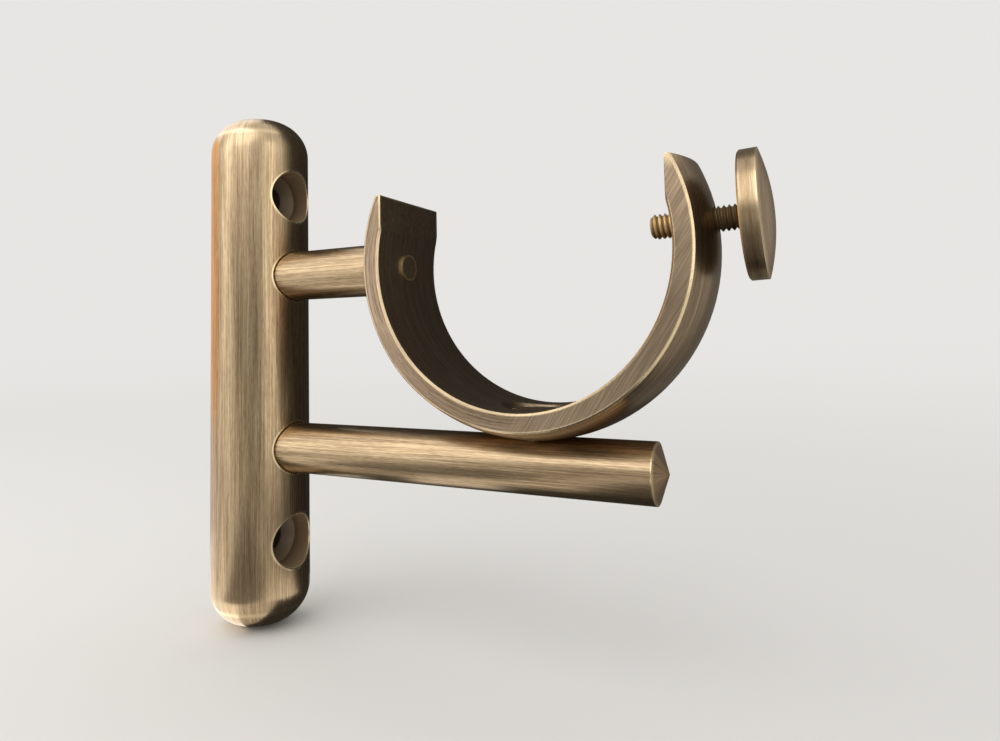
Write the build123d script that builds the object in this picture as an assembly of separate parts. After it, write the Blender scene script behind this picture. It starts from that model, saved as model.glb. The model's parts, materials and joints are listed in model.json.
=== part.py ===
from build123d import *
import math
import os

# Curtain pole bracket in solid brass, for a pole of 50 mm.
# A round bar, flat at the back, is screwed to the wall. Two round arms stand in sockets in its
# front. The upper one ends in a spigot that goes through the wall of an open cup, the lower one
# runs on under the cup, which is screwed down to it. A thumbscrew in the cup's front wall grips
# the pole. Millimetres. X points out of the wall, Y along the pole, Z up, and the origin is the
# middle of the bar's flat back.

# Wall bar
bar_d = 20.0
bar_h = 105.5
bar_back = 8.0            # from the bar's axis to its flat back
bar_crown_r = 17.0        # the flatter rounding at the middle of each end
bar_shoulder_r = 7.5      # the rounding between that and the bar's side

# Holes for the two wall screws
wall_hole_pitch = 70.5
wall_hole_d = 5.5
head_bore_d = 10.5
head_bore_floor = 4.5     # the head bore stops this far in front of the bar's axis
drill_point = 118.0       # the included angle that a drill leaves, in degrees
bore_break = 0.25         # edge break round the bores and sockets in the bar's front

# Arms
arm_d = 10.0
lower_arm_z = -16.5
lower_arm_reach = 91.0    # from the wall to the rim of the lower arm's end
end_cone_h = 1.8
socket_floor = 6.0        # the metal left behind each arm
socket_gap = 0.06         # clearance round an arm in its socket
arm_break = 0.4           # edge break on an arm's hidden end
spigot_d = 5.0
spigot_proud = 0.4        # how far the spigot shows inside the cup
spigot_gap = 0.05

# Cup
cup_bore_d = 51.0
cup_wall = 5.3            # at the middle of the width, where the outside is crowned
cup_edge_wall = 3.2       # at the two flat sides
cup_w = 20.0
pole_reach = 70.8         # from the wall to the middle of the pole
flat_start = 6.0          # the cup's inside goes straight up from this height above its centre
back_tip = 12.2           # heights of the two tips above the cup's centre
front_tip = 13.6
front_tip_crown_r = 80.0  # the front tip is rounded across its width
front_tip_slope = 12.0    # and falls away outwards, in degrees
front_nose_r = 0.8        # the rounding of its inner edge
edge_break = 0.3
seat_depth = 0.65         # how deep the cup sits in the lower arm
seat_gap = 0.02

# Countersunk machine screws, slotted
screw_d = 5.0
screw_head_d = 9.6
screw_head_rim = 0.3      # the straight part of a head
screw_sink = 0.3          # how far a head lies below its surface
screw_gap = 0.05          # clearance round a shank and a head
screw_tip_break = 0.6
slot_w = 1.3
slot_depth = 1.2
arm_screw_l = 16.0
cup_screw_l = 10.0
tap_spare = 1.0           # a tapped hole goes this much deeper than its screw

# Thumbscrew
stud_d = 4.0
stud_gap = 0.05           # clearance of the stud in its tapped hole
stud_tip_break = 0.5
stud_show = 4.9           # how far the tip stands out inside the cup
stud_in_head = 2.0
thumb_z = 3.9             # above the cup's centre, at the middle of the wall
thumb_lean = 2.5          # the screw's outer end leans up, in degrees
thumb_head_d = 19.7
thumb_rim_t = 2.7
thumb_break = 0.25        # edge break on the side that faces the cup
thumb_dome_h = 1.5
thumb_standoff = 3.6      # from the cup's outside to the head

bar_r = bar_d / 2
bar_front = bar_back + bar_r
arm_r = arm_d / 2
cup_in_r = cup_bore_d / 2
cup_out_r = cup_in_r + cup_wall
cup_edge_r = cup_in_r + cup_edge_wall
cup_edge_y = cup_w / 2 - edge_break
cup_z = lower_arm_z + arm_r - seat_depth + cup_out_r
flat_x = math.sqrt(cup_in_r**2 - flat_start**2)
beyond = 5.0              # how far a cutting tool overshoots
BASE = (Align.CENTER, Align.CENTER, Align.MIN)


def rod(start, end, radius, z):
    """A plain round rod along X at height z."""
    return Pos(start, 0, z) * Rot(0, 90, 0) * Cylinder(radius, end - start, align=BASE)


def turned(outline):
    """A solid turned about X, from (x, radius) points that run from one end to the other."""
    first, last = outline[0][0], outline[-1][0]
    corners = [(first, 0)] + [p for p in outline if p[1] > 0] + [(last, 0)]
    face = make_face(Polyline(*corners, close=True))
    return revolve(Plane.XZ * face, Axis.X, 360)


def crowned_side(gap=0):
    """The curve of the cup's outside across its width, this much further out."""
    edge = cup_edge_r + gap
    return ThreePointArc((edge, cup_edge_y), (cup_out_r + gap, 0), (edge, -cup_edge_y))


def cup_wheel():
    """A solid wheel that clears the cup's outside, to cut what the cup seats on."""
    side = crowned_side(seat_gap)
    hub = Polyline(side @ 1, (0, -cup_edge_y), (0, cup_edge_y), side @ 0)
    return Pos(pole_reach, 0, cup_z) * revolve(make_face(Curve() + [side, hub]), Axis.Y, 360)


def countersunk_screw(length):
    """A slotted screw along Z, its head's face at 0 and its shank running up."""
    r, head_r = screw_d / 2, screw_head_d / 2
    neck = screw_head_rim + head_r - r
    outline = Polyline(
        (0, 0),
        (head_r, 0),
        (head_r, screw_head_rim),
        (r, neck),
        (r, length - screw_tip_break),
        (r - screw_tip_break, length),
        (0, length),
        close=True,
    )
    body = revolve(Plane.XZ * make_face(outline), Axis.Z, 360)
    return body - Box(screw_head_d + beyond, slot_w, 2 * slot_depth)


def countersunk_hole(length):
    """The hole that a countersunk screw of this length sits in, in the same place."""
    r = screw_d / 2 + screw_gap
    neck = screw_head_rim + (screw_head_d - screw_d) / 2
    outline = Polyline(
        (0, -beyond),
        (r + neck + beyond, -beyond),
        (r, neck),
        (r, length + tap_spare),
        (0, length + tap_spare),
        close=True,
    )
    return revolve(Plane.XZ * make_face(outline), Axis.Z, 360)


def from_the_back(thing, z):
    """Turns a screw or its hole to run into the bar from the wall side."""
    return Pos(screw_sink, 0, z) * Rot(0, 90, 0) * thing


def through_the_cup(thing):
    """Turns a screw or its hole to run down through the bottom of the cup."""
    return Pos(pole_reach, 0, cup_z - cup_in_r - screw_sink) * Rot(180, 0, 0) * thing


def on_the_thumbscrew(thing):
    """Places a piece whose own X axis starts at the middle of the cup's front wall."""
    place = Pos(pole_reach + cup_in_r + cup_wall / 2, 0, cup_z + thumb_z)
    return place * Rot(0, -thumb_lean, 0) * thing


def make_wall_bar():
    """The turned bar with its flat back, its two sockets and its screw holes."""
    crown_z = bar_h / 2 - bar_crown_r
    side_z = crown_z + math.sqrt(bar_crown_r**2 - bar_r**2)
    spread = math.degrees(math.acos(bar_r / bar_crown_r))
    crown = CenterArc((0, crown_z), bar_crown_r, spread, 90 - spread)
    side = Line((bar_r, -side_z), (bar_r, side_z))
    middle = Line((0, -bar_h / 2), (0, bar_h / 2))
    outline = Curve() + [crown, side, mirror(crown, about=Plane.XZ), middle]
    bar = revolve(Plane.XZ * make_face(outline), Axis.Z, 360)
    rims = [edge for edge in bar.edges() if edge.is_closed]
    bar = Pos(bar_back, 0, 0) * fillet(rims, bar_shoulder_r)
    bar -= Box(bar_d, bar_d, bar_h + beyond, align=(Align.MAX, Align.CENTER, Align.CENTER))

    hole_r, bore_r = wall_hole_d / 2, head_bore_d / 2
    floor_x = bar_back + head_bore_floor
    point_h = (bore_r - hole_r) / math.tan(math.radians(drill_point / 2))
    for z in (-wall_hole_pitch / 2, wall_hole_pitch / 2):
        bar -= rod(-beyond, bar_front + beyond, hole_r, z)
        bar -= rod(floor_x, bar_front + beyond, bore_r, z)
        bar -= Pos(floor_x - point_h, 0, z) * Rot(0, 90, 0) * Cone(hole_r, bore_r, point_h, align=BASE)
    for z in (lower_arm_z, cup_z):
        bar -= rod(socket_floor, bar_front + beyond, arm_r + socket_gap, z)
        bar -= from_the_back(countersunk_hole(arm_screw_l), z)
    rims = [edge for edge in bar.edges() if edge.is_closed and edge.bounding_box().min.X > floor_x]
    return chamfer(rims, bore_break)


def make_upper_arm():
    """The short arm, its outer end shaped to the cup and turned down to a spigot."""
    hidden_end = [(socket_floor, arm_r - arm_break), (socket_floor + arm_break, arm_r)]
    arm = turned(hidden_end + [(pole_reach, arm_r)])
    arm = Pos(0, 0, cup_z) * arm - cup_wheel()
    spigot_end = pole_reach - cup_in_r + spigot_proud
    arm += rod(bar_front, spigot_end, spigot_d / 2, cup_z)
    return arm - from_the_back(countersunk_hole(arm_screw_l), cup_z)


def make_lower_arm():
    """The long arm with its pointed end, a shallow seat for the cup and two tapped holes."""
    hidden_end = [(socket_floor, arm_r - arm_break), (socket_floor + arm_break, arm_r)]
    arm = turned(hidden_end + [(lower_arm_reach, arm_r), (lower_arm_reach + end_cone_h, 0)])
    arm = Pos(0, 0, lower_arm_z) * arm - cup_wheel()
    arm -= through_the_cup(countersunk_hole(cup_screw_l))
    return arm - from_the_back(countersunk_hole(arm_screw_l), lower_arm_z)


def make_pole_cup():
    """The open cup: a turned ring, crowned outside, cut open and milled straight inside its tips."""
    half_w = cup_w / 2
    inside = Polyline(
        (cup_edge_r, -cup_edge_y),
        (cup_edge_r - edge_break, -half_w),
        (cup_in_r + edge_break, -half_w),
        (cup_in_r, -cup_edge_y),
        (cup_in_r, cup_edge_y),
        (cup_in_r + edge_break, half_w),
        (cup_edge_r - edge_break, half_w),
        (cup_edge_r, cup_edge_y),
    )
    cup = revolve(make_face(Curve() + [inside, crowned_side()]), Axis.Y, 360)

    reach = cup_out_r + beyond
    width = cup_w + 2 * beyond
    cup -= Pos(0, 0, flat_start) * Box(2 * flat_x, width, reach, align=BASE)
    cup -= Pos(0, 0, back_tip) * Box(reach, width, reach, align=(Align.MAX, Align.CENTER, Align.MIN))
    above = Box(reach, width, reach, align=(Align.MIN, Align.CENTER, Align.MIN))
    crown = rod(0, reach, front_tip_crown_r, -front_tip_crown_r)
    crown = fillet(crown.edges().sort_by(Axis.X)[0], front_nose_r)
    cup -= above - Pos(flat_x, 0, front_tip) * Rot(0, front_tip_slope, 0) * crown

    cup = Pos(pole_reach, 0, cup_z) * cup
    cup -= rod(bar_front, pole_reach, spigot_d / 2 + spigot_gap, cup_z)
    cup -= through_the_cup(countersunk_hole(cup_screw_l))
    tapped_hole = rod(-cup_wall - beyond, cup_wall + beyond, stud_d / 2 + stud_gap, 0)
    return cup - on_the_thumbscrew(tapped_hole)


def make_thumb_head():
    """The round head: a straight rim with a low dome on its face, bored for the stud."""
    near = cup_wall / 2 + thumb_standoff
    rim = near + thumb_rim_t
    top = rim + thumb_dome_h
    r = thumb_head_d / 2
    dome_r = (r**2 + thumb_dome_h**2) / (2 * thumb_dome_h)
    spread = math.degrees(math.asin(r / dome_r))
    outline = Curve() + [
        Polyline((0, near), (r - thumb_break, near), (r, near + thumb_break), (r, rim)),
        CenterArc((0, top - dome_r), dome_r, 90 - spread, spread),
        Line((0, top), (0, near)),
    ]
    head = Rot(0, 90, 0) * revolve(Plane.XZ * make_face(outline), Axis.Z, 360)
    head -= rod(near - beyond, near + stud_in_head, stud_d / 2 + seat_gap, 0)
    return on_the_thumbscrew(head)


def make_thumb_stud():
    """The threaded stud, its tip broken and its root inside the head."""
    tip = -cup_wall / 2 - stud_show
    root = cup_wall / 2 + thumb_standoff + stud_in_head
    r = stud_d / 2
    return on_the_thumbscrew(turned([(tip, r - stud_tip_break), (tip + stud_tip_break, r), (root, r)]))


pieces = {
    "wall_bar": make_wall_bar(),
    "upper_arm": make_upper_arm(),
    "lower_arm": make_lower_arm(),
    "pole_cup": make_pole_cup(),
    "cup_screw": through_the_cup(countersunk_screw(cup_screw_l)),
    "upper_arm_screw": from_the_back(countersunk_screw(arm_screw_l), cup_z),
    "lower_arm_screw": from_the_back(countersunk_screw(arm_screw_l), lower_arm_z),
    "thumbscrew_head": make_thumb_head(),
    "thumbscrew_stud": make_thumb_stud(),
}

os.makedirs("parts", exist_ok=True)
for name, shape in pieces.items():
    export_step(shape, "parts/" + name + ".step")
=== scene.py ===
"""Looks of a curtain pole bracket in antique brass: its finishes, its cut thread, and the studio.

Lengths are millimetres in the classes of the bracket's pieces, and metres in the studio. The bracket's
own frame has X out of the wall, Y along the curtain pole and Z up.
"""

import json
import logging
import math
from collections.abc import Iterable
from dataclasses import dataclass, field
from enum import Enum
from functools import reduce

import bmesh
import bpy
from mathutils import Matrix, Vector


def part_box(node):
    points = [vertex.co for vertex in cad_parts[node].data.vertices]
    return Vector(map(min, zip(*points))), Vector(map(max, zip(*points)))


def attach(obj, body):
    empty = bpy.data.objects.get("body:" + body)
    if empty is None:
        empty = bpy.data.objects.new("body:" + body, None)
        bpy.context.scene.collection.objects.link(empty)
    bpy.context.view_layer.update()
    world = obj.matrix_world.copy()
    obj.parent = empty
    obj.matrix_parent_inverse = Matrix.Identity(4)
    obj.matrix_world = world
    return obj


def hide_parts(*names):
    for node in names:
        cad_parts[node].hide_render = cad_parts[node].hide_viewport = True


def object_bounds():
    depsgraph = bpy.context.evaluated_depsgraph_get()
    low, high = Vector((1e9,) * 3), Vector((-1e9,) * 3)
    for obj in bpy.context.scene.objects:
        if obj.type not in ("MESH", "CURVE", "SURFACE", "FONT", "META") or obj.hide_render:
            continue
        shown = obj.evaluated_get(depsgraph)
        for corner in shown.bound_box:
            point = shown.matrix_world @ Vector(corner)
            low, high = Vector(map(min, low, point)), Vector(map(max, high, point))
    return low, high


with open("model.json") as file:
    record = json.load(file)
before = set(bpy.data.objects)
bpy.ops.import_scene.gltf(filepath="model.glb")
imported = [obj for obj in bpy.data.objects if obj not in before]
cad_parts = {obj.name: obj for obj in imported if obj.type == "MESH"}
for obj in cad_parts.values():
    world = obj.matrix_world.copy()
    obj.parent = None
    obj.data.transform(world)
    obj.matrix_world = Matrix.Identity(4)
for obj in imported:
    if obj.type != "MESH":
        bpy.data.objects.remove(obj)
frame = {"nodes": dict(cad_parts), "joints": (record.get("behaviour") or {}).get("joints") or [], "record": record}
cad_low, cad_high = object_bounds()

log = logging.getLogger("bracket")

MM = 0.001
SAME_POINT = 1e-6

# How many finer layers a noise has, and the range that most of it lies in.
NOISE_DETAIL = 2.0
NOISE_RANGE = (0.3, 0.7)

Colour = tuple[float, float, float]
Spot = tuple[float, float, float]
Pair = tuple[float, float]

# The two ends of a smooth step: where a mark has gone, and where it is full.
Fade = tuple[float, float]


class Axis(Enum):
    """The axis that a piece was turned about: which coordinates run along it and across it."""

    X = (0, 1, 2)
    Y = (1, 0, 2)
    Z = (2, 0, 1)


class Lay(Enum):
    """Which way the brush marks run on a turned piece."""

    LENGTHWISE = "lengthwise"
    ROUND = "round"


class Value:
    """A number that varies over a surface, on which Python's operators add Math nodes."""

    def __init__(self, graph: "Graph", socket: bpy.types.NodeSocket) -> None:
        """Wraps one output of a tree."""
        self.graph = graph
        self.socket = socket

    def math(self, operation: str, *terms: "Value | float") -> "Value":
        """Adds one Math node.

        Args:
            operation: the node's operation.
            terms: its inputs in order.

        Returns:
            The node's output.
        """
        made = self.graph.node("ShaderNodeMath", {"operation": operation}, dict(enumerate(terms)))
        return Value(self.graph, made.outputs[0])

    def __add__(self, other: "Value | float") -> "Value":
        """self + other."""
        return self.math("ADD", self, other)

    def __radd__(self, other: float) -> "Value":
        """other + self."""
        return self.math("ADD", other, self)

    def __sub__(self, other: "Value | float") -> "Value":
        """self - other."""
        return self.math("SUBTRACT", self, other)

    def __rsub__(self, other: float) -> "Value":
        """other - self."""
        return self.math("SUBTRACT", other, self)

    def __mul__(self, other: "Value | float") -> "Value":
        """self * other."""
        return self.math("MULTIPLY", self, other)

    def __rmul__(self, other: float) -> "Value":
        """other * self."""
        return self.math("MULTIPLY", other, self)

    def __truediv__(self, other: "Value | float") -> "Value":
        """self / other."""
        return self.math("DIVIDE", self, other)

    def __rtruediv__(self, other: float) -> "Value":
        """other / self."""
        return self.math("DIVIDE", other, self)

    def __pow__(self, other: float) -> "Value":
        """self ** other."""
        return self.math("POWER", self, other)

    def __abs__(self) -> "Value":
        """abs(self)."""
        return self.math("ABSOLUTE", self)

    def least(self, other: "Value | float") -> "Value":
        """The smaller of the two."""
        return self.math("MINIMUM", self, other)

    def most(self, other: "Value | float") -> "Value":
        """The larger of the two."""
        return self.math("MAXIMUM", self, other)

    def rise(self, start: float, end: float) -> "Value":
        """A smooth step.

        Args:
            start: where the step is still 0.
            end: where it has reached 1, which may be below start.

        Returns:
            The step, from 0 to 1.
        """
        inputs = {"Value": self, "From Min": start, "From Max": end}
        if end < start:
            inputs = {"Value": self, "From Min": end, "From Max": start, "To Min": 1.0, "To Max": 0.0}
        made = self.graph.node("ShaderNodeMapRange", {"interpolation_type": "SMOOTHSTEP"}, inputs)
        return Value(self.graph, made.outputs[0])

    def near(self, place: float, reach: float) -> "Value":
        """1 at place, falling smoothly to 0 at reach on either side of it."""
        return abs(self - place).rise(reach, 0.0)


def most_of(values: Iterable[Value]) -> Value:
    """The largest of several values."""
    return reduce(Value.most, values)


class Place:
    """A position that varies over a surface, on which an operator adds a Vector Math node."""

    def __init__(self, graph: "Graph", socket: bpy.types.NodeSocket) -> None:
        """Wraps one vector output of a tree."""
        self.graph = graph
        self.socket = socket

    def __add__(self, other: Spot) -> "Place":
        """self + other."""
        made = self.graph.node("ShaderNodeVectorMath", {"operation": "ADD"}, {0: self, 1: other})
        return Place(self.graph, made.outputs[0])

    def parts(self) -> tuple[Value, ...]:
        """Its X, Y and Z."""
        made = self.graph.node("ShaderNodeSeparateXYZ", {}, {0: self})
        return tuple(Value(self.graph, made.outputs[part]) for part in range(3))


class Graph:
    """Adds nodes and links to one shader or geometry tree."""

    def __init__(self, tree: bpy.types.NodeTree) -> None:
        """Starts on an existing tree."""
        self.tree = tree

    def node(self, kind: str, settings: dict | None = None, inputs: dict | None = None) -> bpy.types.Node:
        """Adds one node.

        Args:
            kind: the node's type.
            settings: its properties, with a ramp's (place, colour) pairs under "stops".
            inputs: values or links, by the name or the number of the socket.

        Returns:
            The node.
        """
        made = self.tree.nodes.new(kind)
        for name, setting in (settings or {}).items():
            if name == "stops":
                self.set_stops(made.color_ramp, setting)
            else:
                setattr(made, name, setting)
        for key, given in (inputs or {}).items():
            self.feed(made.inputs[key], given)
        return made

    def feed(self, socket: bpy.types.NodeSocket, given: object) -> None:
        """Links a socket, or sets it where a plain number, vector or colour is given.

        Args:
            socket: the input.
            given: what it gets.
        """
        if isinstance(given, (Value, Place)):
            self.tree.links.new(given.socket, socket)
        elif isinstance(given, bpy.types.NodeSocket):
            self.tree.links.new(given, socket)
        elif socket.type == "RGBA":
            socket.default_value = (*given, 1.0)
        else:
            socket.default_value = given

    @staticmethod
    def set_stops(ramp: bpy.types.ColorRamp, stops: list[tuple[float, Colour]]) -> None:
        """Gives a ramp its stops.

        Args:
            ramp: the ramp.
            stops: the place and the colour of each.
        """
        while len(ramp.elements) < len(stops):
            ramp.elements.new(1.0)
        for element, (place, colour) in zip(ramp.elements, stops):
            element.position = place
            element.color = (*colour, 1.0)

    def place(self, x: Value | float, y: Value | float, z: Value | float) -> Place:
        """Joins three numbers to a place."""
        return Place(self, self.node("ShaderNodeCombineXYZ", {}, {0: x, 1: y, 2: z}).outputs[0])

    def noise(self, place: Place, w: Value | None = None) -> Value:
        """Noise whose grain is about one unit of the place that it is given.

        Args:
            place: where it is read.
            w: a fourth number of that place.

        Returns:
            The noise, spread over 0 to 1.
        """
        settings = {"noise_dimensions": "3D"}
        inputs = {"Vector": place, "Scale": 1.0, "Detail": NOISE_DETAIL}
        if w is not None:
            settings = {"noise_dimensions": "4D"}
            inputs["W"] = w
        made = self.node("ShaderNodeTexNoise", settings, inputs)
        return Value(self, made.outputs[0]).rise(*NOISE_RANGE)

    def blend(self, share: Value | float, first: object, second: object) -> bpy.types.NodeSocket:
        """Mixes two colours: the first where share is 0, the second where it is 1."""
        inputs = {0: share, 6: first, 7: second}
        return self.node("ShaderNodeMix", {"data_type": "RGBA"}, inputs).outputs[2]


@dataclass(frozen=True)
class Marks:
    """One layer of brush marks.

    Attributes:
        across: how many marks there are in a millimetre across them.
        along: how often they change in a millimetre along them.
        in_tone: how much they lighten the metal.
        in_grooves: their share of the grooves' depth.
    """

    across: float
    along: float
    in_tone: float
    in_grooves: float = 0.0


@dataclass
class Turned:
    """A surface as seen from the axis that it was turned about, in millimetres.

    Attributes:
        graph: the tree of the surface's material.
        centre_mm: a point of the axis.
        axis: its direction.
        body_r: the radius of the piece.
        lean_deg: how far the piece's own X axis leans up.
        parts: the place on the surface, from centre_mm and along the piece's own axes.
        along: the place along the axis.
        radius: the distance from the axis.
        cosine: of the turn about the axis.
        sine: of the turn about the axis.
    """

    graph: Graph
    centre_mm: Vector
    axis: Axis
    body_r: float
    lean_deg: float = 0.0
    parts: tuple[Value, ...] = field(init=False)
    along: Value = field(init=False)
    radius: Value = field(init=False)
    cosine: Value = field(init=False)
    sine: Value = field(init=False)

    def __post_init__(self) -> None:
        """Works out the place along the axis and the distance from it."""
        inputs = {
            "Vector": self.graph.node("ShaderNodeTexCoord").outputs["Object"],
            "Location": self.centre_mm * MM,
            "Rotation": (0.0, -math.radians(self.lean_deg), 0.0),
            "Scale": (MM, MM, MM),
        }
        own = self.graph.node("ShaderNodeMapping", {"vector_type": "TEXTURE"}, inputs).outputs[0]
        self.parts = Place(self.graph, own).parts()
        self.along, first, second = (self.parts[place] for place in self.axis.value)
        self.radius = (first * first + second * second) ** 0.5
        self.cosine = first / self.radius.most(MM)
        self.sine = second / self.radius.most(MM)

    def marks(self, lay: Lay, layer: Marks) -> Value:
        """Brush marks, as noise that is stretched one way.

        Args:
            lay: which way the marks run.
            layer: how close together and how long they are.

        Returns:
            The marks, from 0 to 1.
        """
        if lay is Lay.LENGTHWISE:
            turn = self.body_r * layer.across
            return self.graph.noise(
                self.graph.place(self.cosine * turn, self.sine * turn, self.along * layer.along)
            )
        turn = self.body_r * layer.along
        place = self.graph.place(
            self.radius * layer.across, self.along * layer.across, self.cosine * turn
        )
        return self.graph.noise(place, w=self.sine * turn)

    def hole(self, height: float) -> Value:
        """The distance from the axis of a hole that runs along X at this height."""
        _, y, z = self.parts
        return (y * y + (z - height) ** 2.0) ** 0.5


@dataclass(frozen=True)
class BrushedMetal:
    """A metal that is toned, brushed, worn bright on its edges, and lacquered.

    Attributes:
        shade: the dark tone that is left between the brush marks.
        body: the middle tone.
        light: where the brush has cut through.
        worn: bare metal on the edges.
        grime_and_shade: the nearly black colour that holes and joints have where they are dirty, and that paints
            shade deep in the holes and on the hidden sides.
        roughness: of the light tone.
        dark_rough: what the dark tone has more.
        grime_rough: the roughness that dirty places and the painted shade add.
        drilled_rough: what a surface adds that is left as it was drilled.
        worn_smooth: what a worn edge has less.
        drilled_dull: how much less metallic a drilled surface is.
        worn_in_dark: the share of the wear that shows on the dark tone.
        worn_in_light: what the light tone shows more of it.
        coat: the weight of the lacquer.
        coat_roughness: its roughness.
        groove_mm: how deep the brush marks are.
        layers: the brush marks, from the broadest to the finest.
        hairs: the few long marks that stand out from them.
        hair_fade: how high the hairs' noise is where they start to show, and where they are full.
    """

    shade: Colour = (0.20, 0.125, 0.065)
    body: Colour = (0.455, 0.325, 0.19)
    light: Colour = (0.70, 0.54, 0.335)
    worn: Colour = (0.90, 0.71, 0.44)
    grime_and_shade: Colour = (0.050, 0.036, 0.024)
    roughness: float = 0.27
    dark_rough: float = 0.08
    grime_rough: float = 0.32
    drilled_rough: float = 0.4
    worn_smooth: float = 0.05
    drilled_dull: float = 0.45
    worn_in_dark: float = 0.6
    worn_in_light: float = 0.7
    coat: float = 0.25
    coat_roughness: float = 0.25
    groove_mm: float = 0.005
    layers: tuple[Marks, ...] = (
        Marks(0.45, 0.02, in_tone=0.18),
        Marks(1.8, 0.04, in_tone=0.20, in_grooves=0.3),
        Marks(4.5, 0.07, in_tone=0.28, in_grooves=0.4),
        Marks(9.0, 0.5, in_tone=0.32, in_grooves=0.3),
    )
    hairs: Marks = Marks(4.0, 0.05, in_tone=0.30)
    hair_fade: Fade = (0.72, 1.0)

    def brush(self, turned: Turned, lay: Lay) -> tuple[Value, Value]:
        """The tone and the grooves that brushing leaves.

        Args:
            turned: the surface.
            lay: which way it was brushed.

        Returns:
            The tone, from dark to light, and the height of the grooves.
        """
        tone = self.hairs.in_tone * turned.marks(lay, self.hairs).rise(*self.hair_fade)
        grooves: Value | float = 0.0
        for layer in self.layers:
            marks = turned.marks(lay, layer)
            tone = tone + layer.in_tone * marks
            grooves = grooves + layer.in_grooves * marks
        return tone, grooves

    def material(self, name: str, graph: Graph, tone: Value, grooves: Value, wear: Value,
                 dirt_and_shade: Value | float = 0.0, drilled: Value | float = 0.0) -> bpy.types.Material:
        """Finishes the material that a graph belongs to.

        Args:
            name: the material's name.
            graph: its tree.
            tone: 0 where the metal is dark, 1 where the brush has lightened it.
            grooves: the height of the brush marks, from 0 to 1.
            wear: 1 where an edge is worn bare.
            dirt_and_shade: 1 where it is nearly black, where it is dirty in some places and painted shade in
                others.
            drilled: 1 where it is left as it was drilled.

        Returns:
            The material.
        """
        stops = [(0.0, self.shade), (0.5, self.body), (1.0, self.light)]
        colour = graph.node("ShaderNodeValToRGB", {"stops": stops}, {0: tone}).outputs[0]
        # Dirty places and painted shade both blend towards the nearly black colour.
        colour = graph.blend(dirt_and_shade, colour, self.grime_and_shade)
        wear = wear * (self.worn_in_dark + self.worn_in_light * tone).least(1.0)
        colour = graph.blend(wear, colour, self.worn)
        coarse = tone.math("MAXIMUM", self.grime_rough * dirt_and_shade, self.drilled_rough * drilled)
        rough = self.roughness + self.dark_rough * (1.0 - tone) + coarse - self.worn_smooth * wear
        bump = graph.node("ShaderNodeBump", {}, {"Height": grooves, "Distance": self.groove_mm * MM})
        inputs = {
            "Base Color": colour,
            "Metallic": 1.0 - self.drilled_dull * drilled,
            "Roughness": rough,
            "Normal": bump.outputs[0],
            "Coat Weight": self.coat,
            "Coat Roughness": self.coat_roughness,
        }
        shader = graph.node("ShaderNodeBsdfPrincipled", {}, inputs)
        graph.node("ShaderNodeOutputMaterial", {}, {"Surface": shader.outputs[0]})
        return bpy.data.materials[name]


ANTIQUE_BRASS = BrushedMetal()
LINISHED_BRASS = BrushedMetal(
    shade=(0.18, 0.122, 0.076),
    body=(0.39, 0.285, 0.186),
    light=(0.61, 0.475, 0.33),
)
DARK_BRASS = BrushedMetal(
    shade=(0.13, 0.08, 0.045),
    body=(0.28, 0.19, 0.115),
    light=(0.5, 0.37, 0.23),
)
CUT_BRASS = BrushedMetal(
    shade=(0.70, 0.44, 0.20),
    body=(0.92, 0.66, 0.35),
    light=(0.99, 0.86, 0.58),
    grime_and_shade=(0.10, 0.058, 0.028),
    roughness=0.42,
    coat=0.0,
)
ZINC = BrushedMetal(
    shade=(0.35, 0.34, 0.32),
    body=(0.55, 0.54, 0.52),
    light=(0.75, 0.74, 0.72),
    coat=0.0,
)


def new_material(name: str) -> Graph:
    """Makes an empty material.

    Args:
        name: its name.

    Returns:
        The graph of its tree.
    """
    made = bpy.data.materials.new(name)
    made.use_nodes = True
    made.node_tree.nodes.clear()
    return Graph(made.node_tree)


def wears(node: str, material: bpy.types.Material) -> None:
    """Gives a CAD node its material.

    Args:
        node: the node's name.
        material: what it wears.
    """
    slots = frame["nodes"][node].data.materials
    slots.clear()
    slots.append(material)
    log.info("%s wears %s", node, material.name)


def box_mm(node: str) -> tuple[Vector, Vector]:
    """The lowest and highest corner of a CAD node, in millimetres."""
    low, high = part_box(node)
    return low / MM, high / MM


@dataclass
class Arm:
    """One of the two round arms, brushed along its length.

    Attributes:
        node: the arm's node.
        metal: its finish.
        bar_back: from the wall to the bar's axis.
        bar_r: the bar's radius.
        joint_line: how wide the dark line is where the arm enters the bar.
        joint_dirt: how dark that line is.
    """

    node: str
    metal: BrushedMetal = ANTIQUE_BRASS
    bar_back: float = 8.0
    bar_r: float = 10.0
    joint_line: float = 0.2
    joint_dirt: float = 0.9

    def dress(self) -> float:
        """Brushed along its length, with a dark line at the joint.

        Returns:
            The height of the arm's axis.
        """
        low, high = box_mm(self.node)
        centre = (low + high) / 2
        name = self.node + "_brass"
        graph = new_material(name)
        arm = Turned(graph, Vector((0, 0, centre.z)), Axis.X, (high.y - low.y) / 2)
        tone, grooves = self.metal.brush(arm, Lay.LENGTHWISE)
        y = arm.parts[1]
        bar_face = self.bar_back + (self.bar_r**2 - y * y).most(0.0) ** 0.5
        joint = self.joint_dirt * (arm.along - bar_face).near(0.0, self.joint_line)
        shade, wear, dirt_and_shade = self.far_end(arm, high.x)
        material = self.metal.material(name, graph, tone - shade, grooves, wear, joint.most(dirt_and_shade))
        wears(self.node, material)
        return centre.z

    def far_end(self, arm: Turned, tip: float) -> tuple[Value | float, Value, Value | float]:
        """The looks of the end away from the wall.

        Args:
            arm: the arm's surface.
            tip: where the arm ends.

        Returns:
            How much darker it is, its wear and its dirt.
        """
        raise NotImplementedError


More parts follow.
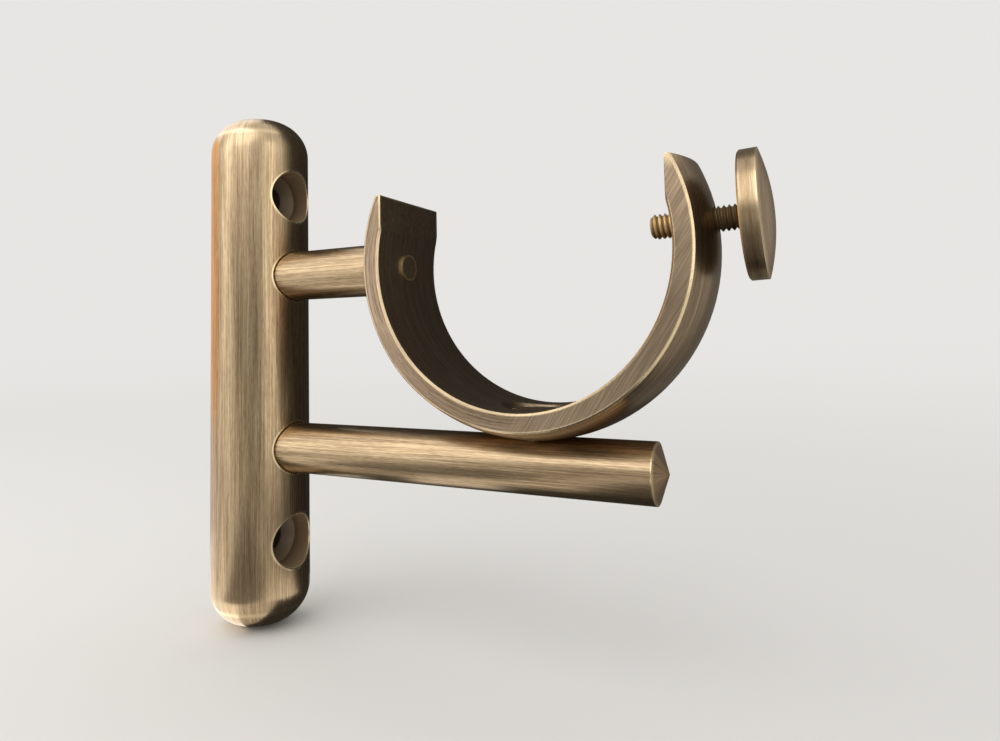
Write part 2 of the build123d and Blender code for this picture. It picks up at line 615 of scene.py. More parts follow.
@dataclass
class UpperArm(Arm):
    """The short arm, whose spigot goes through the cup's wall.

    Attributes:
        node: the arm's node.
        spigot_r: the spigot's radius.
        end_fade: how far from the spigot's end its own finish reaches.
        ring_fade: how far the worn ring reaches in from the spigot's side.
        end_dirt: how dark the end is inside that ring.
    """

    node: str = "upper_arm"
    spigot_r: float = 2.5
    end_fade: Fade = (0.6, 0.5)
    ring_fade: Fade = (0.5, 0.2)
    end_dirt: float = 0.2

    def far_end(self, arm: Turned, tip: float) -> tuple[Value | float, Value, Value | float]:
        """The end of the spigot, with a worn ring.

        Args:
            arm: the arm's surface.
            tip: where the arm ends.

        Returns:
            How much darker it is, its wear and its dirt.
        """
        end = (tip - arm.along).rise(*self.end_fade)
        ring = end * (self.spigot_r - arm.radius).rise(*self.ring_fade)
        return 0.0, ring, self.end_dirt * end


@dataclass
class LowerArm(Arm):
    """The long arm, which ends in a shallow cone.

    Attributes:
        node: the arm's node.
        cone_h: the cone's height.
        cone_shade: how much darker it is.
        cone_fade: how far past the cone's rim that starts.
        rim_wear: how far the wear reaches on either side of the rim.
    """

    node: str = "lower_arm"
    cone_h: float = 1.8
    cone_shade: float = 0.1
    cone_fade: Fade = (0.0, 0.1)
    rim_wear: float = 0.3

    def far_end(self, arm: Turned, tip: float) -> tuple[Value | float, Value, Value | float]:
        """The cone, a little darker, with a worn rim.

        Args:
            arm: the arm's surface.
            tip: where the arm ends.

        Returns:
            How much darker it is, its wear and its dirt.
        """
        from_rim = arm.along - (tip - self.cone_h)
        cone = from_rim.rise(*self.cone_fade)
        return self.cone_shade * cone, from_rim.near(0.0, self.rim_wear), 0.0


@dataclass
class WallBar:
    """The turned bar that is screwed to the wall.

    Attributes:
        socket_heights: where the arms enter it.
        metal: its finish.
        back: from the wall to the bar's axis.
        bore_pitch: between the two bores for the heads of the wall screws.
        bore_r: their radius.
        socket_r: the radius of the arms' sockets.
        rim_break: the chamfer round each bore and socket.
        outer_rim_fade: how far past the chamfer a rim is worn.
        inner_rim_fade: how far past the hole's wall the wear starts.
        rim_depth: how deep below the bar's skin a rim can be.
        inside_fade: how far past a hole's wall its inner finish reaches.
        back_fade: how far from the wall a hole's finish starts, so that the flat back stays clean.
        deep_shade: how far in front of the axis the painted shade deep in a bore starts, and where it is full.
        mouth_dirt: how dirty a bore is at its mouth.
        dome_line: from the bar's end to the line where its dome starts.
        dome_wear: how bright that line is.
        dome_wear_w: how far the wear reaches on either side of it.
        end_light: how much lighter the ends are.
        end_fade: how far from the ends that starts, and where it is full.
        drilled_tone: the tone of a surface that is left as it was drilled.
    """

    socket_heights: tuple[float, ...]
    metal: BrushedMetal = ANTIQUE_BRASS
    back: float = 8.0
    bore_pitch: float = 70.5
    bore_r: float = 5.25
    socket_r: float = 5.0
    rim_break: float = 0.25
    outer_rim_fade: Fade = (0.4, 0.15)
    inner_rim_fade: Fade = (0.0, 0.1)
    rim_depth: Fade = (1.0, 0.5)
    inside_fade: Fade = (0.12, 0.02)
    back_fade: Fade = (0.1, 0.3)
    deep_shade: Fade = (6.5, 2.0)
    mouth_dirt: float = 0.25
    dome_line: float = 4.4
    dome_wear: float = 0.75
    dome_wear_w: float = 0.8
    end_light: float = 0.25
    end_fade: Fade = (14.0, 5.0)
    drilled_tone: float = 0.5

    def dress(self) -> None:
        """Brushed along its length, with worn rims, bores that are dirty at their mouths and darkened deeper in by
        painted shade, and lighter ends.
        """
        low, high = box_mm("wall_bar")
        half_h = (high.z - low.z) / 2
        graph = new_material("bar_brass")
        bar = Turned(graph, Vector((self.back, 0, 0)), Axis.Z, (high.y - low.y) / 2)
        tone, grooves = self.metal.brush(bar, Lay.LENGTHWISE)
        height = abs(bar.along)
        dome = self.dome_wear * height.near(half_h - self.dome_line, self.dome_wear_w)

        # Painted shade: each bore darkens from its dirty mouth to nearly black deeper in; the sockets are dark
        # joints.
        deep = bar.parts[0].rise(*self.deep_shade)
        bore_dirt_and_shade = self.mouth_dirt + (1.0 - self.mouth_dirt) * deep
        holes = [(side * self.bore_pitch / 2, self.bore_r, bore_dirt_and_shade) for side in (-1, 1)]
        holes += [(place, self.socket_r, 1.0) for place in self.socket_heights]
        rims = []
        insides = []
        hole_dirt_and_shade = []
        for place, hole_r, dirt_and_shade in holes:
            rim, inside = self.hole_marks(bar, place, hole_r)
            rims.append(rim)
            insides.append(inside)
            hole_dirt_and_shade.append(dirt_and_shade * inside)
        drilled = most_of(insides)

        tone = tone + drilled * (self.drilled_tone - tone)
        tone = tone + self.end_light * (half_h - height).rise(*self.end_fade)
        wear = most_of([dome, *rims])
        material = self.metal.material("bar_brass", graph, tone, grooves, wear, most_of(hole_dirt_and_shade), drilled)
        wears("wall_bar", material)

    def hole_marks(self, bar: Turned, place: float, hole_r: float) -> tuple[Value, Value]:
        """Where a hole in the bar's front is worn and where it is drilled.

        Args:
            bar: the bar's surface.
            place: the height of the hole's axis.
            hole_r: its radius.

        Returns:
            The worn rim, and the inside of the hole.
        """
        past_wall = bar.hole(place) - hole_r
        in_front = (bar.parts[0] + self.back).rise(*self.back_fade)
        near_skin = (bar.body_r - bar.radius).rise(*self.rim_depth)
        rim = past_wall.rise(*self.inner_rim_fade) * (past_wall - self.rim_break).rise(*self.outer_rim_fade)
        return rim * near_skin * in_front, past_wall.rise(*self.inside_fade) * in_front


@dataclass
class PoleCup:
    """The open cup for the pole, turned, milled straight inside its tips and linished on its face.

    Attributes:
        metal: its finish.
        bore_r: the radius of its bore.
        edge_wall: its wall at its two faces.
        middle_wall: its wall in the middle, where its outside is crowned.
        kink: how far above the bore's axis the inside turns straight.
        kink_fade: from where to where past the kink the straight walls' marks take over.
        side_fade: how wide the change is from the middle to the side of one tip.
        skin_fade: how far from the bore's wall its finish reaches.
        bore_dirt_and_shade: how dark the bore and the straight walls above it are, with patina and painted shade.
        edge_break: the chamfer of its edges.
        edge_wear: how far past the chamfer an edge is worn.
        outer_edge_depth: how far from a face the outer edge's wear reaches.
        back_tip: the height of the back tip above the bore's axis.
        back_tip_fade: how far below that its wear reaches.
        front_tip: the height of the front tip at its inner side.
        tip_slope_deg: how steeply it slopes down and out.
        nose_down: how far below the slope its wear reaches.
        nose_out: how far out from its inner side its wear reaches.
        bore_edge_wear, back_tip_wear, nose_wear: how bright each of these is worn.
        linish_deg: how steeply the scratches of the face run.
        scratches: those scratches.
        linish_tone: the tone between them.
        linish_fade: from where to where across the cup they replace the brushing.
        face_fade: how far from a face its own finish reaches.
        face_shade: how much darker the faces are.
    """

    metal: BrushedMetal = LINISHED_BRASS
    bore_r: float = 25.5
    edge_wall: float = 3.2
    middle_wall: float = 5.3
    kink: float = 6.0
    kink_fade: Fade = (-0.1, 0.1)
    side_fade: float = 1.0
    skin_fade: Fade = (0.12, 0.06)
    bore_dirt_and_shade: float = 0.35
    edge_break: float = 0.3
    edge_wear: float = 0.22
    outer_edge_depth: Fade = (0.5, 0.35)
    back_tip: float = 12.2
    back_tip_fade: Fade = (0.35, 0.1)
    front_tip: float = 13.6
    tip_slope_deg: float = 12.0
    nose_down: Fade = (3.2, 0.6)
    nose_out: Fade = (3.2, 0.8)
    bore_edge_wear: float = 0.85
    back_tip_wear: float = 0.8
    nose_wear: float = 0.9
    linish_deg: float = 57.0
    scratches: Marks = Marks(5.0, 0.12, in_tone=0.5)
    linish_tone: float = 0.45
    linish_fade: Fade = (-3.0, 4.0)
    face_fade: Fade = (0.3, 0.2)
    face_shade: float = 0.22

    @property
    def flat_x(self) -> float:
        """How far the straight inner walls lie from the bore's axis."""
        return math.sqrt(self.bore_r**2 - self.kink**2)

    def dress(self) -> None:
        """Brushed round its bore, linished slantwise on the right, its edges worn bright, and darkened inside with
        patina and painted shade.
        """
        low, high = box_mm("pole_cup")
        bore = next(mount for mount in frame["record"]["mounts"] if mount["name"] == "pole_cup_bore")
        graph = new_material("cup_brass")
        cup = Turned(graph, Vector(bore["pos_m"]) / MM, Axis.Y, self.bore_r + self.middle_wall)
        depth = (high.y - low.y) / 2 - abs(cup.along)
        above = (cup.parts[2] - self.kink).rise(*self.kink_fade)
        tone, grooves = self.linished(cup, depth, *self.metal.brush(cup, Lay.ROUND))
        wear = self.worn_edges(cup, depth, above)
        # Patina and painted shade inside the bore and on the straight walls above it.
        dirt_and_shade = self.bore_dirt_and_shade * self.inside(cup, above)
        wears("pole_cup", self.metal.material("cup_brass", graph, tone, grooves, wear, dirt_and_shade))

    def linished(self, cup: Turned, depth: Value, tone: Value, grooves: Value) -> tuple[Value, Value]:
        """Scratches the faces slantwise on the thumbscrew's side.

        Args:
            cup: the cup's surface.
            depth: how far each point lies inside the nearer face.
            tone: the tone that brushing left.
            grooves: the grooves that it left.

        Returns:
            The tone and the grooves with the scratches.
        """
        x, y, z = cup.parts
        slope = math.radians(self.linish_deg)
        run = math.cos(slope) * x + math.sin(slope) * z
        side = math.cos(slope) * z - math.sin(slope) * x
        place = cup.graph.place(side * self.scratches.across, run * self.scratches.along, y)
        scratches = cup.graph.noise(place)
        face = depth.rise(*self.face_fade)
        slanted = face * x.rise(*self.linish_fade)
        tone = tone + slanted * (self.linish_tone + self.scratches.in_tone * scratches - tone)
        return tone - self.face_shade * face, grooves + slanted * (scratches - grooves)

    def inside(self, cup: Turned, above: Value) -> Value:
        """1 on the bore and on the straight walls above it."""
        bore = (cup.radius - self.bore_r).rise(*self.skin_fade) * (1.0 - above)
        return bore.most((abs(cup.parts[0]) - self.flat_x).rise(*self.skin_fade) * above)

    def worn_edges(self, cup: Turned, depth: Value, above: Value) -> Value:
        """The bright lines along the edges and on the tips.

        Args:
            cup: the cup's surface.
            depth: how far each point lies inside the nearer face.
            above: 1 above the kink.

        Returns:
            The wear, from 0 to 1.
        """
        x, _, z = cup.parts
        reach = self.edge_break + self.edge_wear
        left = x.rise(0.0, -self.side_fade)
        right = x.rise(0.0, self.side_fade)
        outer = (self.bore_r + self.edge_wall - cup.radius + depth).rise(reach, self.edge_break)
        outer = outer * depth.rise(*self.outer_edge_depth)
        bore = (cup.radius - self.bore_r + depth).rise(reach, self.edge_break) * (1.0 - above)
        flat = (abs(x) - self.flat_x + depth).rise(reach, self.edge_wear / 2) * above * left
        back_tip = (self.back_tip - z).rise(*self.back_tip_fade) * left
        out = x - self.flat_x
        slope = self.front_tip - math.tan(math.radians(self.tip_slope_deg)) * out
        nose = (slope - z).rise(*self.nose_down) * out.rise(*self.nose_out) * right
        return most_of([
            outer,
            self.bore_edge_wear * bore,
            flat,
            self.back_tip_wear * back_tip,
            self.nose_wear * nose,
        ])


@dataclass
class Screws:
    """The countersunk screw in the bottom of the cup, and the two in the back of the bar.

    Attributes:
        brass: the finish of the first.
        zinc: the finish of the other two.
        rim_w: how far in from its edge the first one's head is worn.
        rim_wear: how bright it is there.
        dirt_and_shade: how dark its head is.
    """

    brass: BrushedMetal = DARK_BRASS
    zinc: BrushedMetal = ZINC
    rim_w: float = 0.3
    rim_wear: float = 0.6
    dirt_and_shade: float = 0.35

    def dress(self) -> None:
        """Turned heads, dark in the cup and plated in the back."""
        self.dress_one("cup_screw", "screw_brass", self.brass, Axis.Z, self.rim_wear, self.dirt_and_shade)
        for node in ("upper_arm_screw", "lower_arm_screw"):
            self.dress_one(node, node + "_steel", self.zinc, Axis.X, 0.0, 0.0)

    def dress_one(self, node: str, name: str, metal: BrushedMetal, axis: Axis,
                  rim_wear: float, dirt_and_shade: float) -> None:
        """Dresses one screw.

        Args:
            node: its node.
            name: the name of its material.
            metal: its finish.
            axis: the axis that it was turned about.
            rim_wear: how bright the edge of its head is worn.
            dirt_and_shade: how dark it is.
        """
        low, high = box_mm(node)
        radius = (high.y - low.y) / 2
        graph = new_material(name)
        screw = Turned(graph, (low + high) / 2, axis, radius)
        tone, grooves = metal.brush(screw, Lay.ROUND)
        wear = rim_wear * (radius - screw.radius).rise(self.rim_w, 0.0)
        wears(node, metal.material(name, graph, tone, grooves, wear, dirt_and_shade))


@dataclass
class Thumbscrew:
    """The thumbscrew: a round head with a low dome, and a stud with a cut thread.

    Attributes:
        head_metal: the head's finish.
        stud_metal: the thread's finish.
        wall: the cup's wall where the stud goes through it.
        standoff: from the wall to the head.
        rim_t: how thick the head's rim is.
        rim_fade: how far in from the head's side its edges are worn.
        far_edge_w: how far the wear reaches on either side of the far edge.
        near_edge_w: the same for the near edge.
        near_edge_break: the chamfer of the near edge.
        under_shade: how dark the side towards the cup is, with painted shade of the gap.
        under_fade: how far past that side the dirt reaches.
        stud_show: how far the stud stands inside the cup.
        in_head: how far it goes into the head.
        stud_r: its radius.
        pitch: the thread's pitch.
        thread_depth: how deep the thread is cut.
        crest_share: the share of a pitch that is the thread's crest.
        flank_share: the share that its two flanks take.
        tip_break: the chamfer of the stud's tip.
        groove_from: how deep in the thread its darkening starts.
        dark_root_and_gap_shade: how dark the thread is at its root, and outside the cup, where it is painted shade
            of the gap under the head.
        tip_fade: how far from the tip the dirt starts and the wear ends.
        tip_wear: how bright the tip is.
        outside_fade: where along the axis, from the middle of the wall, the outer thread starts.
        steps_in_a_pitch: how many rows of points a pitch has.
        steps_round: how many columns of points go round.
        place_mm: the middle of the cup's wall on the screw's axis.
        lean_deg: how far that axis leans up.
    """

    head_metal: BrushedMetal = ANTIQUE_BRASS
    stud_metal: BrushedMetal = CUT_BRASS
    wall: float = 5.3
    standoff: float = 3.6
    rim_t: float = 2.7
    rim_fade: Fade = (0.9, 0.4)
    far_edge_w: float = 0.4
    near_edge_w: float = 0.3
    near_edge_break: float = 0.1
    under_shade: float = 0.5
    under_fade: Fade = (0.15, 0.0)
    stud_show: float = 4.9
    in_head: float = 2.0
    stud_r: float = 2.0
    pitch: float = 0.8
    thread_depth: float = 0.36
    crest_share: float = 0.12
    flank_share: float = 0.66
    tip_break: float = 0.5
    groove_from: float = 0.12
    dark_root_and_gap_shade: float = 0.8
    tip_fade: Fade = (0.35, 0.0)
    tip_wear: float = 0.5
    outside_fade: Fade = (0.0, 1.0)
    steps_in_a_pitch: int = 14
    steps_round: int = 56
    place_mm: Vector = field(init=False)
    lean_deg: float = field(init=False)

    def __post_init__(self) -> None:
        """Takes the screw's axis from the frame's joint."""
        turn = next(joint for joint in frame["joints"] if joint["name"] == "thumb_turn")
        self.place_mm = Vector(turn["pos_m"]) / MM
        self.lean_deg = math.degrees(math.atan2(turn["axis"][2], turn["axis"][0]))

    @property
    def head_start(self) -> float:
        """From the middle of the cup's wall to the head."""
        return self.wall / 2 + self.standoff

    @property
    def tip(self) -> float:
        """From the middle of the cup's wall to the stud's tip, which lies the other way."""
        return -self.wall / 2 - self.stud_show

    def dress_head(self) -> None:
        """Brushed round, with bright lines at both edges of its rim and painted shade on the side towards the cup.
        """
        low, high = box_mm("thumbscrew_head")
        radius = (high.y - low.y) / 2
        graph = new_material("head_brass")
        head = Turned(graph, self.place_mm, Axis.X, radius, self.lean_deg)
        tone, grooves = self.head_metal.brush(head, Lay.ROUND)
        past_start = head.along - self.head_start
        rim = (radius - head.radius).rise(*self.rim_fade)
        far_edge = past_start.near(self.rim_t, self.far_edge_w)
        near_edge = past_start.near(self.near_edge_break, self.near_edge_w)
        wear = rim * far_edge.most(near_edge)
        # Painted shade on the side of the head that faces the cup.
        dirt_and_shade = self.under_shade * past_start.rise(*self.under_fade)
        material = self.head_metal.material("head_brass", graph, tone, grooves, wear, dirt_and_shade)
        wears("thumbscrew_head", material)

    def thread_tree(self) -> bpy.types.NodeTree:
        """Builds the tree of the stud with its helical thread.

        Returns:
            The tree, which makes it along X from the origin, in metres.
        """
        tree = bpy.data.node_groups.new("cut_thread", "GeometryNodeTree")
        kinds = dict.fromkeys(("Length", "Radius", "Pitch", "Depth", "Tip Break"), "NodeSocketFloat")
        kinds |= dict.fromkeys(("Rows", "Columns"), "NodeSocketInt")
        kinds["Material"] = "NodeSocketMaterial"
        for name, kind in kinds.items():
            tree.interface.new_socket(name, in_out="INPUT", socket_type=kind)
        tree.interface.new_socket("Geometry", in_out="OUTPUT", socket_type="NodeSocketGeometry")
        graph = Graph(tree)
        given = graph.node("NodeGroupInput")
        rows, columns, material = (given.outputs[name] for name in ("Rows", "Columns", "Material"))
        size = {"Size X": 1.0, "Size Y": 1.0, "Vertices X": rows, "Vertices Y": columns}
        made = graph.node("GeometryNodeMeshGrid", {}, size).outputs["Mesh"]
        steps = (
            ("GeometryNodeSetPosition", {"Position": self.helix(graph, given)}),
            ("GeometryNodeMergeByDistance", {"Distance": SAME_POINT}),
            ("GeometryNodeRealizeInstances", {}),
            ("GeometryNodeSetShadeSmooth", {}),
            ("GeometryNodeSetMaterial", {"Material": material}),
        )
        for kind, inputs in steps:
            made = graph.node(kind, {}, {"Geometry": made, **inputs}).outputs[0]
        graph.node("NodeGroupOutput", {}, {0: made})
        return tree

    def helix(self, graph: Graph, given: bpy.types.Node) -> Place:
        """Wraps a flat grid of side 1 round the stud: its rows run along it, its columns round it.

        Args:
            graph: the thread's tree.
            given: the node that holds the tree's inputs.

        Returns:
            Where each point goes.
        """
        names = ("Length", "Radius", "Pitch", "Depth", "Tip Break", "Rows")
        sockets = (given.outputs[name] for name in names)
        length, radius, pitch, depth, tip_break, rows = (Value(graph, socket) for socket in sockets)
        flat = Place(graph, graph.node("GeometryNodeInputPosition").outputs[0])
        row, turn, _ = (flat + (0.5, 0.5, 0.0)).parts()
        step = row * (rows - 1.0)
        along = ((step - 1.0) / (rows - 3.0)).most(0.0).least(1.0) * length
        turns = along / pitch - turn
        phase = turns.math("FRACT", turns)
        flank = (abs(2.0 * phase - 1.0) - self.crest_share) / self.flank_share
        cut = depth * flank.most(0.0).least(1.0)
        thread_r = (radius - cut).least(radius - tip_break + along)
        # The first and the last row are drawn in to the axis, which closes the two ends.
        reach = thread_r * step.rise(0.4, 0.6) * (rows - 1.0 - step).rise(0.4, 0.6)
        angle = turn * (2.0 * math.pi)
        return graph.place(along, reach * angle.math("COSINE", angle), reach * angle.math("SINE", angle))

    def thread_material(self) -> bpy.types.Material:
        """Bright where it was cut, darker at its root, and dark outside the cup with painted shade of the gap
        under the head.

        Returns:
            The thread's material.
        """
        graph = new_material("thread_brass")
        stud = Turned(graph, self.place_mm, Axis.X, self.stud_r, self.lean_deg)
        tone, grooves = self.stud_metal.brush(stud, Lay.ROUND)
        root = (self.stud_r - stud.radius).rise(self.groove_from, self.thread_depth)
        end = (stud.along - self.tip).rise(*self.tip_fade)
        outside = stud.along.rise(*self.outside_fade)
        # Darker at the thread's root, and painted shade of the gap under the head outside the cup.
        dirt_and_shade = self.dark_root_and_gap_shade * (root * (1.0 - end)).most(outside)
        wear = self.tip_wear * end
        return self.stud_metal.material("thread_brass", graph, tone, grooves, wear, dirt_and_shade)

    def cut_thread(self) -> None:
        """Makes the stud with its thread, where the plain stud stands."""
        length = self.head_start + self.in_head - self.tip
        holder = bpy.data.objects.new("thread_maker", bpy.data.meshes.new("thread_maker"))
        bpy.context.scene.collection.objects.link(holder)
        maker = holder.modifiers.new("cut_thread", "NODES")
        maker.node_group = self.thread_tree()
        settings = {
            "Length": length * MM,
            "Radius": self.stud_r * MM,
            "Pitch": self.pitch * MM,
            "Depth": self.thread_depth * MM,
            "Tip Break": self.tip_break * MM,
            "Rows": int(length / self.pitch * self.steps_in_a_pitch),
            "Columns": self.steps_round,
            "Material": self.thread_material(),
        }
        for item in maker.node_group.interface.items_tree:
            if item.in_out == "INPUT":
                maker[item.identifier] = settings[item.name]
        depsgraph = bpy.context.evaluated_depsgraph_get()
        mesh = bpy.data.meshes.new_from_object(holder.evaluated_get(depsgraph))
        bpy.data.objects.remove(holder)
        lean = Matrix.Rotation(-math.radians(self.lean_deg), 4, "Y")
        start = Matrix.Translation((self.tip * MM, 0, 0))
        mesh.transform(Matrix.Translation(self.place_mm * MM) @ lean @ start)
        turn_outwards(mesh)
        piece = bpy.data.objects.new("cut_thread", mesh)
        bpy.context.scene.collection.objects.link(piece)
        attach(piece, "stud")
        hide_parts("thumbscrew_stud")
        log.info("cut_thread has %d faces", len(mesh.polygons))


def turn_outwards(mesh: bpy.types.Mesh) -> None:
    """Makes every face of a closed mesh point outwards.

    Args:
        mesh: the mesh.
    """
    made = bmesh.new()
    made.from_mesh(mesh)
    bmesh.ops.recalc_face_normals(made, faces=made.faces)
    made.to_mesh(mesh)
    made.free()


@dataclass(frozen=True)
class PhotoCamera:
    """The camera at the photo's viewing angle.

    Attributes:
        place_mm: where it stands.
        yaw_deg: how far it looks towards the wall from straight along the pole.
        pitch_deg: how far it looks up.
        roll_deg: how far it is turned about its own line of sight.
        focal_px: its focal length in pixels of the photo.
        centre_px: where its line of sight meets the photo.
        frame_px: the photo's width and height.
        sensor_mm: the width of its sensor.
        nearest_mm: how close a thing can be and still be seen.
    """

    place_mm: Spot = (115.71, -110.49, 5.64)
    yaw_deg: float = 27.39
    pitch_deg: float = 3.49
    roll_deg: float = 1.10
    focal_px: float = 690.7
    centre_px: Pair = (469.9, 293.4)
    frame_px: tuple[int, int] = (1000, 741)
    sensor_mm: float = 36.0
    nearest_mm: float = 5.0

    def build(self) -> None:
        """Adds the camera and makes it the scene's own."""
        lens = bpy.data.cameras.new("photo_camera")
        width, height = self.frame_px
        lens.sensor_fit = "HORIZONTAL"
        lens.sensor_width = self.sensor_mm
        lens.lens = self.focal_px / width * self.sensor_mm
        lens.shift_x = (width / 2 - self.centre_px[0]) / width
        lens.shift_y = (self.centre_px[1] - height / 2) / width
        lens.clip_start = self.nearest_mm * MM
        camera = bpy.data.objects.new("photo_camera", lens)
        camera.matrix_world = Matrix.Translation(Vector(self.place_mm) * MM) @ self.turned()
        bpy.context.scene.collection.objects.link(camera)
        bpy.context.scene.camera = camera

    def turned(self) -> Matrix:
        """Works out how the camera is turned.

        Returns:
            Its turn, as a matrix.
        """
        yaw, pitch, roll = (math.radians(turn) for turn in (self.yaw_deg, self.pitch_deg, self.roll_deg))
        ahead = Vector((-math.sin(yaw) * math.cos(pitch), math.cos(yaw) * math.cos(pitch), math.sin(pitch)))
        level = Vector((math.cos(yaw), math.sin(yaw), 0.0))
        down = ahead.cross(level)
        right = math.cos(roll) * level + math.sin(roll) * down
        up = right.cross(ahead)
        return Matrix((right, up, -ahead)).transposed().to_4x4()


@dataclass
class Studio:
    """A pale floor and backdrop, soft lamps, and glowing cards that only reflections see, which paint dark and
    bright reflections into the metal.

    Attributes:
        backdrop: the colour of the backdrop.
        floor: the colour of the floor.
        floor_r: the floor's radius.
        floor_sides: how many sides its edge has.
        fade_r: how far from the bracket the floor starts to fade into the backdrop.
        behind: how far behind the bracket's middle the standing cards are.
        lift: how far above the floor a card lies.
        over_lift: the same for one that lies over another.
        lamp_power: of a lamp of one square metre whose face is as bright as a white wall.
        dark, dim, light: the colours that several cards glow with, as painted dark, dim and bright reflections.
    """

    backdrop: Colour = (0.80, 0.79, 0.77)
    floor: Colour = (0.74, 0.731, 0.714)
    floor_r: float = 6.0
    floor_sides: int = 96
    fade_r: float = 0.16
    behind: float = 0.030
    lift: float = 0.0004
    over_lift: float = 0.0006
    lamp_power: float = 4.0
    dark: Colour = (0.035, 0.033, 0.030)
    dim: Colour = (0.20, 0.19, 0.18)
    light: Colour = (1.5, 1.46, 1.40)

    def build(self) -> None:
        """Adds everything that isn't part of the bracket."""
        self.light_the_world()
        self.lay_the_floor()
        self.hang_the_lamps()
        self.stand_the_cards()
        self.lay_the_cards()

    def hang_the_lamps(self) -> None:
        """Three soft lamps: above the wall's side, above the front, and low on the left."""
        self.softbox("key", (-0.30, 0.04, 0.40), (0.40, 0.40), 0.5)
        self.softbox("front_top", (-0.06, -0.36, 0.36), (0.60, 0.50), 0.9)
        self.softbox("left_wall", (-0.42, -0.48, 0.06), (0.36, 0.40), 0.6)

    def stand_the_cards(self) -> None:
        """Glowing cards round the bracket and close behind it, seen only in reflections: painted dark and bright
        reflections.
        """
        self.card("dark_by_the_camera", (0.28, -0.42, -0.10), (0.28, 0.36), self.dark)
        self.card("dim_by_the_camera", (-0.01, -0.46, -0.10), (0.26, 0.38), self.dim)
        # Painted reflection: the warm orange band down the left side of the bar.
        self.card("warm_left", (-0.39, 0.0, 0.0), (0.22, 0.50), (1.25, 0.70, 0.30))
        self.card("light_right", (0.40, -0.15, 0.0), (0.22, 0.60), self.light)
        self.back_card("dark_behind", (-0.02, -0.10), (0.092, 0.16), self.dark)
        self.back_card("dim_behind", (0.092, -0.10), (0.122, 0.16), (0.15, 0.14, 0.12))
        self.back_card("light_behind", (0.122, -0.10), (0.20, 0.16), (0.42, 0.39, 0.34))

    def lay_the_cards(self) -> None:
        """Glowing cards on the floor, and two small ones over them, seen only in reflections: painted dark
        reflections, and painted highlights low on the bar and along the bottoms of the arms.
        """
        low = self.lift
        over = self.over_lift
        self.floor_card("dark_far_floor", (0.009, -0.006), (0.70, 0.030), self.dark, low)
        self.floor_card("dark_right_floor", (0.070, -0.50), (0.125, -0.004), (0.10, 0.095, 0.09), low)
        self.floor_card("dim_front_floor", (-0.008, -0.12), (0.05, -0.020), self.dim, low)
        self.floor_card("light_left_floor", (-0.07, -0.045), (-0.008, 0.016), (1.3, 1.27, 1.22), low)
        self.floor_card("light_under_the_bar", (-0.008, -0.020), (0.009, 0.016), self.light, over)
        self.floor_card("light_under_the_arm", (0.028, -0.020), (0.050, 0.014), (1.0, 0.97, 0.93), over)

    def light_the_world(self) -> None:
        """A plain pale backdrop on every side."""
        world = bpy.data.worlds.new("backdrop")
        world.use_nodes = True
        world.node_tree.nodes.clear()
        graph = Graph(world.node_tree)
        sky = graph.node("ShaderNodeBackground", {}, {"Color": self.backdrop, "Strength": 1.0})
        graph.node("ShaderNodeOutputWorld", {}, {"Surface": sky.outputs[0]})
        bpy.context.scene.world = world

    def lay_the_floor(self) -> None:
        """A round floor under the bracket that fades into the backdrop."""
        graph = new_material("floor")
        where = Place(graph, graph.node("ShaderNodeTexCoord").outputs["Object"])
        x, y, _ = where.parts()
        far = (self.fade_r / (x * x + y * y).most(MM * MM) ** 0.5).rise(1.0, 0.0)
        near = graph.node("ShaderNodeBsdfDiffuse", {}, {"Color": self.floor})
        sky = graph.node("ShaderNodeEmission", {}, {"Color": self.backdrop, "Strength": 1.0})
        mixed = graph.node("ShaderNodeMixShader", {}, {0: far, 1: near.outputs[0], 2: sky.outputs[0]})
        graph.node("ShaderNodeOutputMaterial", {}, {"Surface": mixed.outputs[0]})
        mesh = bpy.data.meshes.new("floor")
        made = bmesh.new()
        bmesh.ops.create_circle(made, cap_ends=True, segments=self.floor_sides, radius=self.floor_r)
        made.to_mesh(mesh)
        made.free()
        mesh.materials.append(bpy.data.materials["floor"])
        floor = bpy.data.objects.new("floor", mesh)
        floor.location = (0, 0, cad_low.z)
        bpy.context.scene.collection.objects.link(floor)

    @staticmethod
    def facing(place: Spot) -> Matrix:
        """The matrix of something at a place that faces the middle of the bracket."""
        away = Vector(place) - (cad_low + cad_high) / 2
        return Matrix.Translation(place) @ away.to_track_quat("Z", "Y").to_matrix().to_4x4()

    def softbox(self, name: str, place: Spot, size: Pair, radiance: float) -> None:
        """Adds an area lamp that faces the bracket.

        Args:
            name: the lamp's name.
            place: its middle.
            size: its width and height.
            radiance: how bright its face is, where a white wall in full light is about 1.
        """
        lamp = bpy.data.lights.new(name, "AREA")
        lamp.shape = "RECTANGLE"
        lamp.size, lamp.size_y = size
        lamp.energy = self.lamp_power * size[0] * size[1] * radiance
        made = bpy.data.objects.new(name, lamp)
        made.matrix_world = self.facing(place)
        made.visible_camera = False
        bpy.context.scene.collection.objects.link(made)

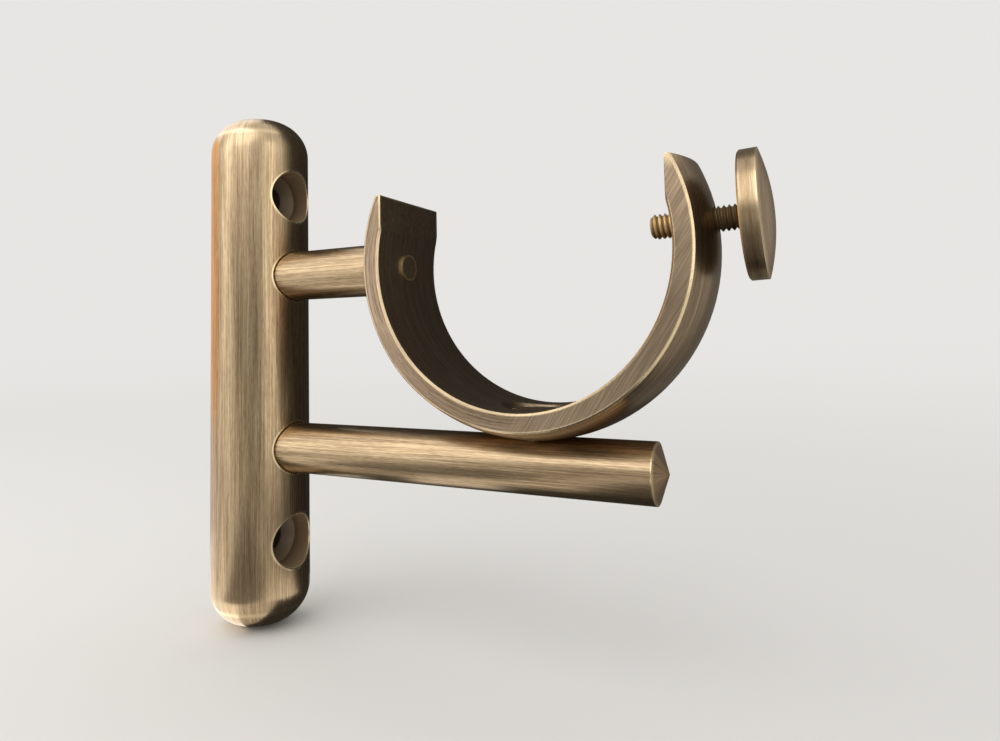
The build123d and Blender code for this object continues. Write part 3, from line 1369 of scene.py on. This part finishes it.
    def card(self, name: str, place: Spot, size: Pair, colour: Colour) -> None:
        """Adds a card of a width and height that faces the bracket from a place."""
        x, y = size[0] / 2, size[1] / 2
        self.sheet(name, (-x, -y), (x, y), colour).matrix_world = self.facing(place)

    def back_card(self, name: str, low: Pair, high: Pair, colour: Colour) -> None:
        """Stands a card close behind the bracket, across Y, between two corners in X and Z."""
        made = self.sheet(name, low, high, colour)
        made.matrix_world = Matrix.Translation((0, self.behind, 0)) @ Matrix.Rotation(math.pi / 2, 4, "X")

    def floor_card(self, name: str, low: Pair, high: Pair, colour: Colour, lift: float) -> None:
        """Lays a card just above the floor, between two corners in X and Y."""
        self.sheet(name, low, high, colour).location = (0, 0, cad_low.z + lift)

    @staticmethod
    def sheet(name: str, low: Pair, high: Pair, colour: Colour) -> bpy.types.Object:
        """Makes a flat glowing sheet that only glossy rays meet.

        Args:
            name: its name.
            low: its lower left corner.
            high: its upper right corner.
            colour: what it glows with, where 1 is white.

        Returns:
            The sheet, flat at the origin.
        """
        graph = new_material(name)
        shade = graph.node("ShaderNodeEmission", {}, {"Color": colour, "Strength": 1.0})
        graph.node("ShaderNodeOutputMaterial", {}, {"Surface": shade.outputs[0]})
        mesh = bpy.data.meshes.new(name)
        corners = [(low[0], low[1], 0), (high[0], low[1], 0), (high[0], high[1], 0), (low[0], high[1], 0)]
        mesh.from_pydata(corners, [], [(0, 1, 2, 3)])
        mesh.materials.append(bpy.data.materials[name])
        made = bpy.data.objects.new(name, mesh)
        for kind in ("camera", "diffuse", "transmission", "shadow", "volume_scatter"):
            setattr(made, "visible_" + kind, False)
        bpy.context.scene.collection.objects.link(made)
        return made


def main() -> None:
    """Dresses the bracket and sets up the studio."""
    logging.basicConfig(level=logging.INFO, format="%(name)s: %(message)s")
    bpy.context.scene.view_settings.view_transform = "Standard"
    arms = (UpperArm(), LowerArm())
    heights = tuple(arm.dress() for arm in arms)
    WallBar(heights).dress()
    PoleCup().dress()
    Screws().dress()
    thumbscrew = Thumbscrew()
    thumbscrew.dress_head()
    thumbscrew.cut_thread()
    Studio().build()
    PhotoCamera().build()


if __name__ == "__main__":
    main()
